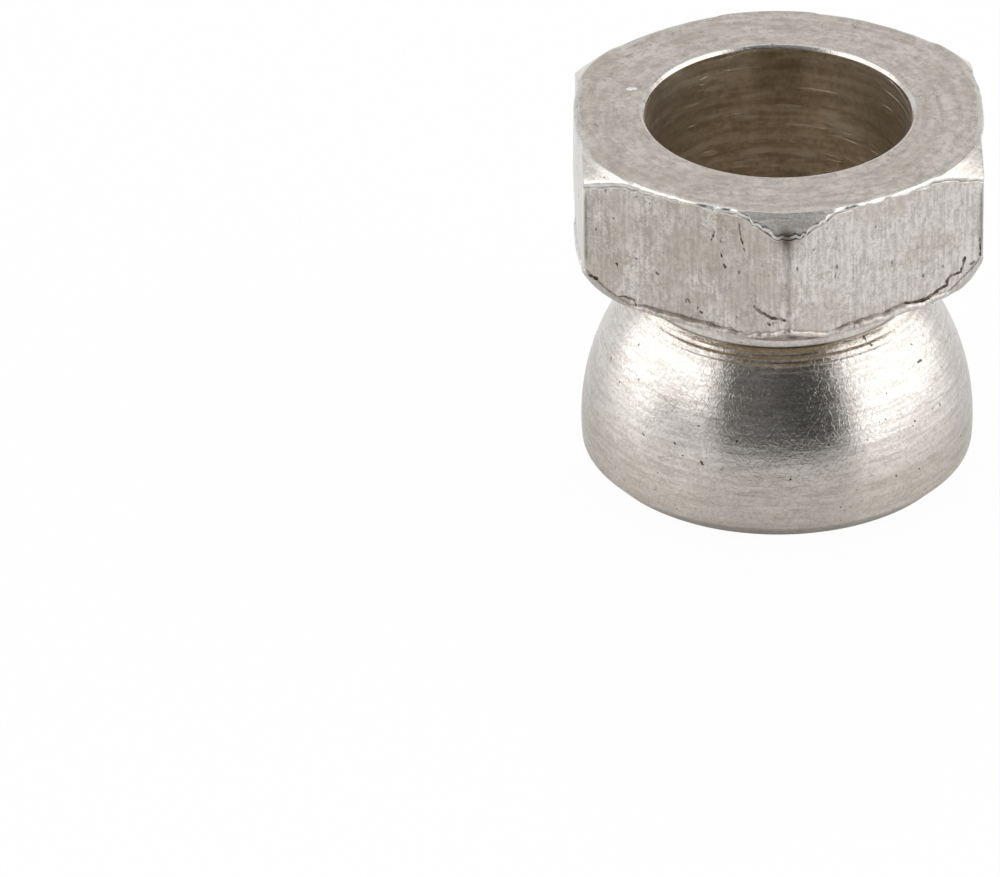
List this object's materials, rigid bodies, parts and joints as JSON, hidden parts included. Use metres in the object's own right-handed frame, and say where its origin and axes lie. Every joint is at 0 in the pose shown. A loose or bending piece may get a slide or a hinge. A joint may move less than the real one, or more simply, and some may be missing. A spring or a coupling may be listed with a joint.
{
  "type": "shear nut",
  "caption": "Break-off hexagon nut turned from stainless bar: chamfered head, thin shear neck and domed base with an internal thread.",
  "frame": {"origin": "centre of the flat end face of the threaded base, on which the nut stands", "axes": "+Z along the thread's axis, from the end face up to the hexagon head; two corners of the hexagon lie on the Y axis"},
  "size_m": [0.01, 0.0116, 0.0097],
  "materials": {
    "stainless_steel": "satin turned stainless steel"
  },
  "bodies": {
    "root": {"shear_nut": "stainless_steel"}
  },
  "joints": []
}
